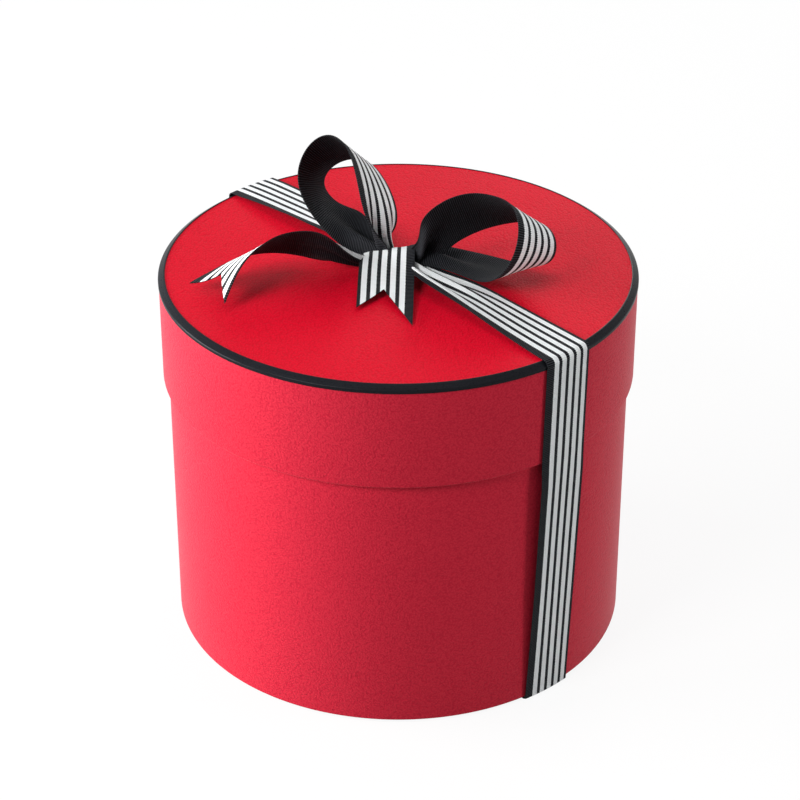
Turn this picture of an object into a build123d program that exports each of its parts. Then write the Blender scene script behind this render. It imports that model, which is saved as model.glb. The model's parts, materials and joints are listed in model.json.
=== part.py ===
"""Round gift box with a telescoping lid, tied with a striped ribbon and a bow.

Frame: millimetres, +Z up, origin on the box's axis at the level it stands on.
The viewer's front is -Y and the viewer's right is +X.
"""
from build123d import *
from math import hypot
import os

os.makedirs("parts", exist_ok=True)

# Driving sizes
LID_DIAMETER = 220.0
BOX_HEIGHT = 179.2
LID_RIM_DEPTH = 51.0
BOARD_THICKNESS = 1.8
WRAP_THICKNESS = 0.25
LINER_THICKNESS = 0.2
TURN_IN_DEPTH = 14.0
BASE_PAPER_SETBACK = 2.0
BINDING_THICKNESS = 0.3
BINDING_TOP_WIDTH = 3.2
BINDING_SIDE_DEPTH = 3.5
EDGE_BEVEL_WIDTH = 2.7
EDGE_BEVEL_DROP = 1.9
EDGE_RIDGE_RADIUS = 0.8
RIBBON_WIDTH = 25.4
RIBBON_THICKNESS = 0.5

# Clearances
LID_SLIDE_CLEARANCE = 0.3
LID_REST_CLEARANCE = 0.3
RIBBON_CLEARANCE = 0.3
KNOT_CLEARANCE = 0.25

# Ribbon line over the lid: heading of its front half from +X, its distance from the axis,
# and how far it has moved across that line by the right rim and by the foot
RIBBON_HEADING = -48.0
RIBBON_OFFSET = 1.7
RIM_DRIFT = 1.7
FOOT_DRIFT = 5.8
RIM_FOLD_RADIUS = 2.4
LIP_BEND_RADIUS = 12.0
FOOT_FOLD_RADIUS = 0.55
FOOT_TURN_HEIGHT = 2.0

# The knot's roll: how wide, deep and high it is, and where its middle lies above the lid
KNOT_LENGTH_SHARE = 0.94
KNOT_DEPTH_SHARE = 0.62
KNOT_HEIGHT_SHARE = 0.36
KNOT_PLACE_SHARES = (-0.17, -0.12)
KNOT_TURN = 4.0
KNOT_CORNER_SHARE = 0.3
KNOT_END_ROUND_SHARE = 0.12

# Strips of the bow. Each row is one place along the strip, in shares of the ribbon's width:
# the strip's middle (x, y, height over the lid), the way its width points, and the width kept.
BOW_LOOP_LEFT_SHARES = (
    (-0.40, 0.12, 0.34, 0.30, 0.92, 0.16, 0.50),
    (-0.66, 0.42, 0.38, 0.24, 0.90, 0.36, 0.80),
    (-0.98, 0.80, 0.40, 0.32, 0.94, 0.10, 1.00),
    (-1.36, 1.05, 0.56, 0.34, 0.93, -0.10, 1.00),
    (-1.60, 1.20, 0.88, 0.42, 0.85, -0.32, 1.00),
    (-1.64, 1.35, 1.20, 0.46, 0.72, -0.52, 1.00),
    (-1.42, 1.51, 1.52, 0.41, 0.56, -0.72, 1.00),
    (-1.05, 1.50, 1.70, 0.40, 0.52, -0.75, 1.00),
    (-0.72, 1.24, 1.66, 0.44, 0.62, -0.66, 1.00),
    (-0.50, 0.80, 1.44, 0.57, 0.57, -0.59, 1.00),
    (-0.36, 0.36, 1.16, 0.69, 0.49, -0.54, 1.00),
    (-0.31, 0.02, 0.86, 0.67, 0.56, -0.49, 0.98),
    (-0.31, -0.12, 0.60, 0.55, 0.66, -0.50, 0.76),
    (-0.28, -0.18, 0.40, 0.42, 0.77, -0.47, 0.42),
)
BOW_LOOP_RIGHT_SHARES = (
    (0.36, -0.28, 0.36, 0.20, 0.62, -0.76, 0.42),
    (0.46, -0.36, 0.60, 0.28, 0.46, -0.84, 0.80),
    (0.62, -0.40, 0.81, 0.35, 0.35, -0.87, 1.00),
    (0.91, -0.30, 1.05, 0.31, 0.25, -0.92, 1.00),
    (1.41, -0.16, 1.20, 0.26, 0.35, -0.90, 1.00),
    (1.95, -0.25, 1.26, 0.36, 0.56, -0.74, 1.00),
    (2.30, -0.50, 1.30, 0.60, 0.51, -0.61, 1.00),
    (2.46, -0.88, 1.15, 0.68, 0.52, -0.53, 1.00),
    (2.42, -1.10, 0.78, 0.74, 0.58, -0.36, 1.00),
    (2.20, -1.08, 0.44, 0.77, 0.62, -0.14, 1.00),
    (1.87, -0.80, 0.24, 0.67, 0.74, 0.00, 1.00),
    (1.48, -0.46, 0.20, 0.50, 0.86, -0.06, 1.00),
    (1.07, -0.23, 0.22, 0.34, 0.90, -0.19, 0.95),
    (0.68, -0.12, 0.26, 0.24, 0.94, -0.22, 0.74),
    (0.36, -0.08, 0.25, 0.18, 0.95, -0.20, 0.42),
)
BOW_TAIL_LEFT_SHARES = (
    (-0.56, -0.32, 0.22, -0.14, 0.72, -0.68, 0.40),
    (-0.85, -0.45, 0.38, -0.14, 0.68, -0.72, 0.75),
    (-1.20, -0.45, 0.53, -0.13, 0.55, -0.82, 0.98),
    (-1.55, -0.40, 0.64, -0.12, 0.54, -0.83, 1.00),
    (-1.95, -0.42, 0.68, -0.12, 0.65, -0.75, 1.00),
    (-2.30, -0.50, 0.68, -0.28, 0.69, -0.67, 1.00),
    (-2.60, -0.68, 0.65, -0.50, 0.62, -0.60, 1.00),
    (-2.85, -0.88, 0.58, -0.53, 0.65, -0.55, 1.00),
    (-3.07, -1.10, 0.46, -0.57, 0.70, -0.42, 1.00),
    (-3.24, -1.26, 0.30, -0.62, 0.76, -0.20, 1.00),
    (-3.36, -1.32, 0.14, -0.67, 0.75, 0.00, 1.00),
)
BOW_TAIL_FRONT_SHARES = (
    (-0.19, -0.44, 0.34, 0.98, 0.10, 0.08, 1.00),
    (-0.20, -0.75, 0.36, 0.99, 0.04, 0.06, 1.00),
    (-0.21, -1.15, 0.32, 0.99, 0.00, 0.00, 1.00),
    (-0.22, -1.60, 0.24, 0.98, -0.06, -0.08, 1.00),
    (-0.24, -2.18, 0.14, 0.97, -0.12, -0.18, 1.00),
)
SWALLOWTAIL_DEPTH_SHARE = 0.6
BOW_STEPS = 4
BAND_STEPS = 2

# The two halves of the band, which rise from the rim to the knot. Each row: distance from the middle
# of the ribbon line, shift across it, rise above its lowest level, how far the near edge is lifted
# over the far one, and the width kept.
BAND_RIGHT_SHARES = (
    (0.42, -0.14, 0.19, 0.20, 0.36),
    (0.80, -0.17, 0.15, 0.22, 0.58),
    (1.25, -0.08, 0.12, 0.20, 0.84),
    (1.80, -0.02, 0.10, 0.16, 1.00),
    (2.40, -0.03, 0.07, 0.11, 1.00),
    (3.20, -0.05, 0.03, 0.05, 1.00),
)
BAND_LEFT_SHARES = (
    (-0.62, -0.10, 0.19, 0.10, 0.40),
    (-1.00, -0.10, 0.17, 0.10, 0.66),
    (-1.45, -0.04, 0.15, 0.08, 0.90),
    (-2.00, 0.00, 0.13, 0.06, 1.00),
    (-2.60, 0.00, 0.10, 0.04, 1.00),
    (-3.40, 0.00, 0.06, 0.02, 1.00),
)

# Levels and radii worked out from the driving sizes
base_level = RIBBON_THICKNESS + RIBBON_CLEARANCE
lid_top_level = base_level + BOX_HEIGHT
lid_lip_level = lid_top_level - LID_RIM_DEPTH
cover_top_level = lid_top_level - BINDING_THICKNESS
lid_board_top_level = cover_top_level - WRAP_THICKNESS
lid_board_low_level = lid_board_top_level - BOARD_THICKNESS
ceiling_level = lid_board_low_level - LINER_THICKNESS
body_rim_level = ceiling_level - LID_REST_CLEARANCE
base_paper_top_level = base_level + WRAP_THICKNESS
base_board_low_level = base_paper_top_level + WRAP_THICKNESS
base_board_top_level = base_board_low_level + BOARD_THICKNESS

lid_radius = LID_DIAMETER / 2
lid_wrap_radius = lid_radius - BINDING_THICKNESS
lid_board_radius = lid_wrap_radius - WRAP_THICKNESS
lid_bore_radius = lid_board_radius - BOARD_THICKNESS
lid_inner_radius = lid_bore_radius - WRAP_THICKNESS
body_radius = lid_inner_radius - LID_SLIDE_CLEARANCE
tube_radius = body_radius - WRAP_THICKNESS
tube_bore_radius = tube_radius - BOARD_THICKNESS

bevel_reach = lid_radius - EDGE_BEVEL_WIDTH
bevel_slope = EDGE_BEVEL_DROP / EDGE_BEVEL_WIDTH
covered_depth = BINDING_THICKNESS + WRAP_THICKNESS

band_level = lid_top_level + RIBBON_CLEARANCE + RIBBON_THICKNESS / 2
drop_reach = lid_radius + RIBBON_CLEARANCE + RIBBON_THICKNESS / 2
foot_reach = body_radius + RIBBON_CLEARANCE + RIBBON_THICKNESS / 2
foot_level = FOOT_TURN_HEIGHT + RIBBON_CLEARANCE
band_reach = lid_radius - BINDING_TOP_WIDTH
ribbon_along = Vector(1, 0, 0).rotate(Axis.Z, RIBBON_HEADING)
ribbon_across = Vector(0, 1, 0).rotate(Axis.Z, RIBBON_HEADING)
ribbon_middle = ribbon_across * RIBBON_OFFSET
right_rim_middle = ribbon_across * (RIBBON_OFFSET - RIM_DRIFT)
foot_middle = ribbon_across * (RIBBON_OFFSET - FOOT_DRIFT)
UP = Vector(0, 0, 1)


def bevel_level(radius, depth):
    """Height of the lid's bevelled edge at a radius, at a depth measured square to its face."""
    return lid_top_level - (radius - bevel_reach) * bevel_slope - depth * hypot(1, bevel_slope)


def bevel_start(level, depth):
    """Radius where a layer at a depth under the bevel's face meets a level."""
    return bevel_reach + (lid_top_level - level - depth * hypot(1, bevel_slope)) / bevel_slope


board_bevel_start = bevel_start(lid_board_top_level, covered_depth)
cover_bevel_start = bevel_start(cover_top_level, BINDING_THICKNESS)
ridge_level = bevel_level(lid_radius, 0)


def eased(rows, steps):
    """Rows along a smooth cubic through the table's rows, with several steps from one to the next."""
    before_first = [2 * first - second for first, second in zip(rows[0], rows[1])]
    after_last = [2 * last - before for last, before in zip(rows[-1], rows[-2])]
    ends = [before_first, *rows, after_last]
    result = []
    for i in range(len(rows) - 1):
        for step in range(steps):
            t = step / steps
            weights = ((1 - t) ** 3, 3 * t**3 - 6 * t**2 + 4, 3 * (t + t**2 - t**3) + 1, t**3)
            result.append([sum(w * v for w, v in zip(weights, column)) / 6 for column in zip(*ends[i : i + 4])])
    result.append(list(rows[-1]))
    return result


def section_planes(middles, widths_along):
    """One plane square to the strip at each middle, with its X along the strip's width."""
    planes = []
    last = len(middles) - 1
    for i, (middle, width_along) in enumerate(zip(middles, widths_along)):
        across = width_along.normalized()
        run = middles[min(i + 1, last)] - middles[max(i - 1, 0)]
        forward = (run - across * run.dot(across)).normalized()
        planes.append(Plane(origin=middle, x_dir=across, z_dir=forward))
    return planes


def bow_sections(shares):
    """The planes and widths of a strip of the bow, from its table."""
    rows = eased(shares, BOW_STEPS)
    middles = [Vector(*row[:3]) * RIBBON_WIDTH + UP * lid_top_level for row in rows]
    ways = [Vector(*row[3:6]) for row in rows]
    widths = [row[6] * RIBBON_WIDTH for row in rows]
    return list(zip(section_planes(middles, ways), widths))


def band_sections(shares, side, rim_middle):
    """The planes and widths of one half of the band, from the knot to the fold at the rim."""
    rows = eased(shares, BAND_STEPS)
    middles = [
        ribbon_middle
        + ribbon_along * (along * RIBBON_WIDTH)
        + ribbon_across * (shift * RIBBON_WIDTH)
        + UP * (band_level + rise * RIBBON_WIDTH)
        for along, shift, rise, lift, kept in rows
    ]
    middles.append(rim_middle + ribbon_along * (side * band_reach) + UP * band_level)
    ways = [ribbon_across - UP * lift for along, shift, rise, lift, kept in rows] + [ribbon_across]
    widths = [row[-1] * RIBBON_WIDTH for row in rows] + [RIBBON_WIDTH]
    return list(zip(section_planes(middles, ways), widths))


def drop_plane(rim_middle):
    """The plane that a side run leans in, from its middle at the rim, with X along the ribbon's line."""
    upward = rim_middle - foot_middle + UP * (band_level - foot_level)
    return Plane(
        origin=rim_middle + UP * band_level,
        x_dir=ribbon_along,
        z_dir=ribbon_along.cross(upward.normalized()),
    )


def drop_points(side):
    """Corners of a side run of the ribbon, with heights from the level of the band."""
    return (
        (side * band_reach, 0),
        (side * drop_reach, 0),
        (side * drop_reach, lid_lip_level - band_level),
        (side * foot_reach, foot_level - band_level),
    )


def notch_plane(end_plane):
    """The plane of the ribbon's face at a tail's end, with its Y back along the strip."""
    return Plane(origin=end_plane.origin, x_dir=end_plane.x_dir, z_dir=end_plane.y_dir)


# X runs along the ribbon's line under the base, Y is up, and the normal points across the ribbon
foot_upright = Plane(origin=foot_middle, x_dir=ribbon_along, z_dir=-ribbon_across)

# Body of the box
with BuildPart() as body_tube:
    with BuildSketch(Plane.XY.offset(base_board_low_level)):
        Circle(tube_radius)
        Circle(tube_bore_radius, mode=Mode.SUBTRACT)
    extrude(amount=body_rim_level - WRAP_THICKNESS - base_board_low_level)
body_tube.part.label = "body_tube"

with BuildPart() as body_base_board:
    with BuildSketch(Plane.XY.offset(base_board_low_level)):
        Circle(tube_bore_radius)
    extrude(amount=BOARD_THICKNESS)
body_base_board.part.label = "body_base_board"

# Red paper: up the outside, over the rim and down inside, and turned under the base
with BuildPart() as body_wrap:
    with BuildSketch(Plane.XZ):
        with BuildLine():
            Polyline(
                (body_radius - TURN_IN_DEPTH, base_paper_top_level),
                (body_radius, base_paper_top_level),
                (body_radius, body_rim_level),
                (tube_bore_radius - WRAP_THICKNESS, body_rim_level),
                (tube_bore_radius - WRAP_THICKNESS, body_rim_level - TURN_IN_DEPTH),
                (tube_bore_radius, body_rim_level - TURN_IN_DEPTH),
                (tube_bore_radius, body_rim_level - WRAP_THICKNESS),
                (tube_radius, body_rim_level - WRAP_THICKNESS),
                (tube_radius, base_board_low_level),
                (body_radius - TURN_IN_DEPTH, base_board_low_level),
                close=True,
            )
        make_face()
    revolve(axis=Axis.Z)
body_wrap.part.label = "body_wrap"

with BuildPart() as body_base_paper:
    with BuildSketch(Plane.XY.offset(base_level)):
        Circle(body_radius - BASE_PAPER_SETBACK)
    extrude(amount=WRAP_THICKNESS)
body_base_paper.part.label = "body_base_paper"

with BuildPart() as body_floor_liner:
    with BuildSketch(Plane.XY.offset(base_board_top_level)):
        Circle(tube_bore_radius)
    extrude(amount=LINER_THICKNESS)
body_floor_liner.part.label = "body_floor_liner"

with BuildPart() as body_wall_liner:
    with BuildSketch(Plane.XY.offset(base_board_top_level + LINER_THICKNESS)):
        Circle(tube_bore_radius)
        Circle(tube_bore_radius - LINER_THICKNESS, mode=Mode.SUBTRACT)
    extrude(amount=body_rim_level - TURN_IN_DEPTH - base_board_top_level - LINER_THICKNESS)
body_wall_liner.part.label = "body_wall_liner"

# Lid, with its boards bevelled along the top edge
with BuildPart() as lid_rim_band:
    with BuildSketch(Plane.XZ):
        with BuildLine():
            Polyline(
                (lid_bore_radius, lid_lip_level + WRAP_THICKNESS),
                (lid_board_radius, lid_lip_level + WRAP_THICKNESS),
                (lid_board_radius, bevel_level(lid_board_radius, covered_depth)),
                (lid_bore_radius, bevel_level(lid_bore_radius, covered_depth)),
                close=True,
            )
        make_face()
    revolve(axis=Axis.Z)
lid_rim_band.part.label = "lid_rim_band"

with BuildPart() as lid_top_board:
    with BuildSketch(Plane.XZ):
        with BuildLine():
            Polyline(
                (0, lid_board_low_level),
                (lid_bore_radius, lid_board_low_level),
                (lid_bore_radius, bevel_level(lid_bore_radius, covered_depth)),
                (board_bevel_start, lid_board_top_level),
                (0, lid_board_top_level),
                close=True,
            )
        make_face()
    revolve(axis=Axis.Z)
lid_top_board.part.label = "lid_top_board"

with BuildPart() as lid_top_cover:
    with BuildSketch(Plane.XZ):
        with BuildLine():
            Polyline(
                (0, lid_board_top_level),
                (board_bevel_start, lid_board_top_level),
                (cover_bevel_start, cover_top_level),
                (0, cover_top_level),
                close=True,
            )
        make_face()
    revolve(axis=Axis.Z)
lid_top_cover.part.label = "lid_top_cover"

# Red paper up the bevel and round the rim, turned under its lip and up inside
with BuildPart() as lid_rim_wrap:
    with BuildSketch(Plane.XZ):
        with BuildLine():
            Polyline(
                (cover_bevel_start, cover_top_level),
                (lid_wrap_radius, bevel_level(lid_wrap_radius, BINDING_THICKNESS)),
                (lid_wrap_radius, lid_lip_level),
                (lid_inner_radius, lid_lip_level),
                (lid_inner_radius, lid_lip_level + TURN_IN_DEPTH),
                (lid_bore_radius, lid_lip_level + TURN_IN_DEPTH),
                (lid_bore_radius, lid_lip_level + WRAP_THICKNESS),
                (lid_board_radius, lid_lip_level + WRAP_THICKNESS),
                (lid_board_radius, bevel_level(lid_board_radius, covered_depth)),
                (board_bevel_start, lid_board_top_level),
                close=True,
            )
        make_face()
    revolve(axis=Axis.Z)
lid_rim_wrap.part.label = "lid_rim_wrap"

# Black tape down the bevel and over its ridge, which is rounded
with BuildPart() as lid_edge_binding:
    with BuildSketch(Plane.XZ):
        with BuildLine():
            Polyline(
                (lid_radius - BINDING_TOP_WIDTH, cover_top_level),
                (lid_radius - BINDING_TOP_WIDTH, lid_top_level),
                (bevel_reach, lid_top_level),
                (lid_radius, ridge_level),
                (lid_radius, lid_top_level - BINDING_SIDE_DEPTH),
                (lid_wrap_radius, lid_top_level - BINDING_SIDE_DEPTH),
                (lid_wrap_radius, bevel_level(lid_wrap_radius, BINDING_THICKNESS)),
                (cover_bevel_start, cover_top_level),
                close=True,
            )
        make_face()
        ridge = vertices().sort_by_distance((lid_radius, ridge_level))[0]
        fillet(ridge, radius=EDGE_RIDGE_RADIUS)
    revolve(axis=Axis.Z)
lid_edge_binding.part.label = "lid_edge_binding"

with BuildPart() as lid_ceiling_liner:
    with BuildSketch(Plane.XY.offset(ceiling_level)):
        Circle(lid_bore_radius)
    extrude(amount=LINER_THICKNESS)
lid_ceiling_liner.part.label = "lid_ceiling_liner"

with BuildPart() as lid_rim_liner:
    with BuildSketch(Plane.XY.offset(lid_lip_level + TURN_IN_DEPTH)):
        Circle(lid_bore_radius)
        Circle(lid_bore_radius - LINER_THICKNESS, mode=Mode.SUBTRACT)
    extrude(amount=ceiling_level - lid_lip_level - TURN_IN_DEPTH)
lid_rim_liner.part.label = "lid_rim_liner"

# Knot: a rounded roll of tightly drawn ribbon that every strip of the bow runs into
knot_x, knot_y = (share * RIBBON_WIDTH for share in KNOT_PLACE_SHARES)
knot_height = KNOT_HEIGHT_SHARE * RIBBON_WIDTH
knot_middle_level = lid_top_level + RIBBON_CLEARANCE + knot_height / 2
knot_end_plane = Plane(
    origin=(knot_x, knot_y, knot_middle_level),
    x_dir=Vector(0, 1, 0).rotate(Axis.Z, KNOT_TURN),
    z_dir=Vector(1, 0, 0).rotate(Axis.Z, KNOT_TURN),
)
knot_depth = KNOT_DEPTH_SHARE * RIBBON_WIDTH
knot_length = KNOT_LENGTH_SHARE * RIBBON_WIDTH
knot_corner = KNOT_CORNER_SHARE * knot_height

with BuildPart() as ribbon_knot:
    with BuildSketch(knot_end_plane):
        RectangleRounded(knot_depth, knot_height, knot_corner)
    extrude(amount=knot_length / 2, both=True)
    along_knot = faces().sort_by(Axis(knot_end_plane.origin, knot_end_plane.z_dir))
    knot_ends = along_knot[:1] + along_knot[-1:]
    fillet(knot_ends.edges(), radius=KNOT_END_ROUND_SHARE * knot_height)
ribbon_knot.part.label = "ribbon_knot"

# The room round the knot that the strips drawn in close to it leave free
with BuildPart() as knot_seat:
    with BuildSketch(knot_end_plane):
        RectangleRounded(
            knot_depth + 2 * KNOT_CLEARANCE,
            knot_height + 2 * KNOT_CLEARANCE,
            knot_corner + KNOT_CLEARANCE,
        )
    extrude(amount=knot_length / 2 + KNOT_CLEARANCE, both=True)

# Band over the lid
with BuildPart() as ribbon_band_right:
    for plane, width in band_sections(BAND_RIGHT_SHARES, 1, right_rim_middle):
        with BuildSketch(plane):
            Rectangle(width, RIBBON_THICKNESS)
    loft(ruled=True)
    add(knot_seat.part, mode=Mode.SUBTRACT)
ribbon_band_right.part.label = "ribbon_band_right"

with BuildPart() as ribbon_band_left:
    for plane, width in band_sections(BAND_LEFT_SHARES, -1, ribbon_middle):
        with BuildSketch(plane):
            Rectangle(width, RIBBON_THICKNESS)
    loft(ruled=True)
ribbon_band_left.part.label = "ribbon_band_left"

# Side runs: over the rim, straight down it, then in to the foot of the body, drifting across on the way
with BuildPart() as ribbon_drop_right:
    with BuildSketch(drop_plane(right_rim_middle)):
        with BuildLine():
            FilletPolyline(*drop_points(1), radius=(RIM_FOLD_RADIUS, LIP_BEND_RADIUS))
        trace(line_width=RIBBON_THICKNESS)
    extrude(amount=RIBBON_WIDTH / 2, dir=ribbon_across, both=True)
ribbon_drop_right.part.label = "ribbon_drop_right"

with BuildPart() as ribbon_drop_left:
    with BuildSketch(drop_plane(ribbon_middle)):
        with BuildLine():
            FilletPolyline(*drop_points(-1), radius=(RIM_FOLD_RADIUS, LIP_BEND_RADIUS))
        trace(line_width=RIBBON_THICKNESS)
    extrude(amount=RIBBON_WIDTH / 2, dir=ribbon_across, both=True)
ribbon_drop_left.part.label = "ribbon_drop_left"

# Run under the base, turned up at both feet to meet the side runs
with BuildPart() as ribbon_underside:
    with BuildSketch(foot_upright):
        with BuildLine():
            FilletPolyline(
                (-foot_reach, FOOT_TURN_HEIGHT),
                (-foot_reach, RIBBON_THICKNESS / 2),
                (foot_reach, RIBBON_THICKNESS / 2),
                (foot_reach, FOOT_TURN_HEIGHT),
                radius=FOOT_FOLD_RADIUS,
            )
        trace(line_width=RIBBON_THICKNESS)
    extrude(amount=RIBBON_WIDTH / 2, both=True)
ribbon_underside.part.label = "ribbon_underside"

# Bow
with BuildPart() as bow_loop_left:
    for plane, width in bow_sections(BOW_LOOP_LEFT_SHARES):
        with BuildSketch(plane):
            Rectangle(width, RIBBON_THICKNESS)
    loft(ruled=True)
    add(knot_seat.part, mode=Mode.SUBTRACT)
bow_loop_left.part.label = "bow_loop_left"

with BuildPart() as bow_loop_right:
    for plane, width in bow_sections(BOW_LOOP_RIGHT_SHARES):
        with BuildSketch(plane):
            Rectangle(width, RIBBON_THICKNESS)
    loft(ruled=True)
bow_loop_right.part.label = "bow_loop_right"

notch_depth = SWALLOWTAIL_DEPTH_SHARE * RIBBON_WIDTH
notch_points = (
    (-RIBBON_WIDTH / 2, 0),
    (0, notch_depth),
    (RIBBON_WIDTH / 2, 0),
    (0, -notch_depth),
)

with BuildPart() as bow_tail_left:
    tail_sections = bow_sections(BOW_TAIL_LEFT_SHARES)
    for plane, width in tail_sections:
        with BuildSketch(plane):
            Rectangle(width, RIBBON_THICKNESS)
    loft(ruled=True)
    with BuildSketch(notch_plane(tail_sections[-1][0])):
        with BuildLine():
            Polyline(*notch_points, close=True)
        make_face()
    extrude(amount=RIBBON_WIDTH / 2, both=True, mode=Mode.SUBTRACT)
    add(knot_seat.part, mode=Mode.SUBTRACT)
bow_tail_left.part.label = "bow_tail_left"

with BuildPart() as bow_tail_front:
    tail_sections = bow_sections(BOW_TAIL_FRONT_SHARES)
    for plane, width in tail_sections:
        with BuildSketch(plane):
            Rectangle(width, RIBBON_THICKNESS)
    loft(ruled=True)
    with BuildSketch(notch_plane(tail_sections[-1][0])):
        with BuildLine():
            Polyline(*notch_points, close=True)
        make_face()
    extrude(amount=RIBBON_WIDTH / 2, both=True, mode=Mode.SUBTRACT)
bow_tail_front.part.label = "bow_tail_front"

export_step(body_tube.part, "parts/body_tube.step")
export_step(body_base_board.part, "parts/body_base_board.step")
export_step(body_wrap.part, "parts/body_wrap.step")
export_step(body_base_paper.part, "parts/body_base_paper.step")
export_step(body_floor_liner.part, "parts/body_floor_liner.step")
export_step(body_wall_liner.part, "parts/body_wall_liner.step")
export_step(lid_rim_band.part, "parts/lid_rim_band.step")
export_step(lid_top_board.part, "parts/lid_top_board.step")
export_step(lid_top_cover.part, "parts/lid_top_cover.step")
export_step(lid_rim_wrap.part, "parts/lid_rim_wrap.step")
export_step(lid_edge_binding.part, "parts/lid_edge_binding.step")
export_step(lid_ceiling_liner.part, "parts/lid_ceiling_liner.step")
export_step(lid_rim_liner.part, "parts/lid_rim_liner.step")
export_step(ribbon_knot.part, "parts/ribbon_knot.step")
export_step(ribbon_band_left.part, "parts/ribbon_band_left.step")
export_step(ribbon_band_right.part, "parts/ribbon_band_right.step")
export_step(ribbon_drop_left.part, "parts/ribbon_drop_left.step")
export_step(ribbon_drop_right.part, "parts/ribbon_drop_right.step")
export_step(ribbon_underside.part, "parts/ribbon_underside.step")
export_step(bow_loop_left.part, "parts/bow_loop_left.step")
export_step(bow_loop_right.part, "parts/bow_loop_right.step")
export_step(bow_tail_left.part, "parts/bow_tail_left.step")
export_step(bow_tail_front.part, "parts/bow_tail_front.step")
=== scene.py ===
"""Looks of a round paper-covered gift box tied with a striped ribbon.

Lengths are metres. The origin is on the box's axis at the level it stands on, +Z is up,
the viewer's front is -Y and the viewer's right is +X.
"""

from __future__ import annotations

import json
import logging
import math
from collections.abc import Callable, Sequence
from dataclasses import dataclass
from enum import Enum

import bpy
import numpy as np
from mathutils import Matrix, Vector


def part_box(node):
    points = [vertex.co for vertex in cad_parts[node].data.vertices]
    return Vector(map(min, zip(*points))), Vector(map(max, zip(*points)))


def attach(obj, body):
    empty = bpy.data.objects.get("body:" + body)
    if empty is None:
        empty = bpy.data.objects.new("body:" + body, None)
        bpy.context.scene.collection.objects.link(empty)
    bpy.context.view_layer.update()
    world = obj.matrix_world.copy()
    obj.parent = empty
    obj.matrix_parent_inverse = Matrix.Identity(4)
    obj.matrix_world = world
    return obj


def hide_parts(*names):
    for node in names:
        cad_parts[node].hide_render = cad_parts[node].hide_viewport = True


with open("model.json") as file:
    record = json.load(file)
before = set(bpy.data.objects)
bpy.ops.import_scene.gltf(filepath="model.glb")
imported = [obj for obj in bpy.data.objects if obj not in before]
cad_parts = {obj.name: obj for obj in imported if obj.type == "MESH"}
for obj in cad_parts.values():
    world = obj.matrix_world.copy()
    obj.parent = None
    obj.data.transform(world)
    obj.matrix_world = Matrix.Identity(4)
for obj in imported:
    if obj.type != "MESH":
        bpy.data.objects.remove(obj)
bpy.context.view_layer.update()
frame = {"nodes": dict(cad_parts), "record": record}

log = logging.getLogger("gift_box")

MM = 0.001
WHITE = (1.0, 1.0, 1.0, 1.0)
LATHE_SHARP_ANGLE = math.radians(40)
RIBBON_SHARP_ANGLE = math.radians(60)
HAIR = 1e-6  # metres, less than any real step
LEAST_TURN = 1e-4  # radians, keeps the arc of a flat edge defined
BEND_STEPS = 8
PLEAT_STEPS = 240
PLEAT_ROWS = 60
STEEPEST_PLEAT = 2.2  # radians

Array = np.ndarray
Material = bpy.types.Material
Mesh = bpy.types.Mesh
Socket = bpy.types.NodeSocket
Value = float | Sequence[float] | Socket
Row = Sequence[float]
Outline = Sequence[tuple[float, float]]
Colour = tuple[float, float, float, float]
Place = tuple[float, float, float]
Shift = Callable[[float, float, float], float]


class Side(Enum):
    """The two ends of the ribbon's line over the lid, by the way they lie along it."""

    LEFT = -1
    RIGHT = 1


class Facing(Enum):
    """Which way the striped face of a strip looks: with or against run x width."""

    WITH = 1
    AGAINST = -1


class Margin(Enum):
    """At which end of the width the broad black margin of the stripes lies."""

    START = 0
    END = 1


class Slot(Enum):
    """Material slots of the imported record."""

    RED_PAPER = "red_paper"
    BLACK_BINDING = "black_binding"
    GREY_BOARD = "grey_board"
    LINER_PAPER = "liner_paper"
    BASE_PAPER = "base_paper"
    STRIPED_RIBBON = "striped_ribbon"


class Body(Enum):
    """Bodies of the frame that pieces ride on."""

    BASE = "base"
    LID = "lid"
    RIBBON = "ribbon"
    RIBBON_UNDER = "ribbon_under"


class Graph:
    """A node graph of a material or the world, with short ways to add nodes and join them."""

    def __init__(self, owner: Material | bpy.types.World) -> None:
        """Starts an empty graph.

        Args:
            owner: the material or world that it belongs to.
        """
        owner.use_nodes = True
        self.tree = owner.node_tree
        self.tree.nodes.clear()

    def set(self, node: bpy.types.Node, inputs: dict[str | int, Value]) -> None:
        """Links or sets inputs of a node.

        Args:
            node: the node to change.
            inputs: a socket to link, or a value to set, by input name or place.
        """
        for key, value in inputs.items():
            if isinstance(value, Socket):
                self.tree.links.new(value, node.inputs[key])
            else:
                node.inputs[key].default_value = value

    def node(
        self, kind: str, inputs: dict[str | int, Value] | None = None, **settings: str | float | bool
    ) -> bpy.types.Node:
        """Adds a node.

        Args:
            kind: the node's type name.
            inputs: what its inputs are linked or set to.
            **settings: properties of the node.

        Returns:
            The new node.
        """
        made = self.tree.nodes.new(kind)
        for key, value in settings.items():
            setattr(made, key, value)
        self.set(made, inputs or {})
        return made

    def math(self, operation: str, *values: float | Socket) -> Socket:
        """Adds a math node with its inputs in order."""
        return self.node("ShaderNodeMath", dict(enumerate(values)), operation=operation).outputs[0]

    def mix(self, share: float | Socket, first: Value, second: Value) -> Socket:
        """Mixes two colours, the second with the given share."""
        return self.node("ShaderNodeMix", {0: share, 6: first, 7: second}, data_type="RGBA").outputs[2]

    def seen(self) -> Socket:
        """Adds a value of 1 for what the camera sees, also in gloss and through glass, and else 0.

        Returns:
            The value.
        """
        ray = self.node("ShaderNodeLightPath").outputs
        mirrored = self.math("MAXIMUM", ray["Is Glossy Ray"], ray["Is Transmission Ray"])
        return self.math("MAXIMUM", ray["Is Camera Ray"], mirrored)


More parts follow.
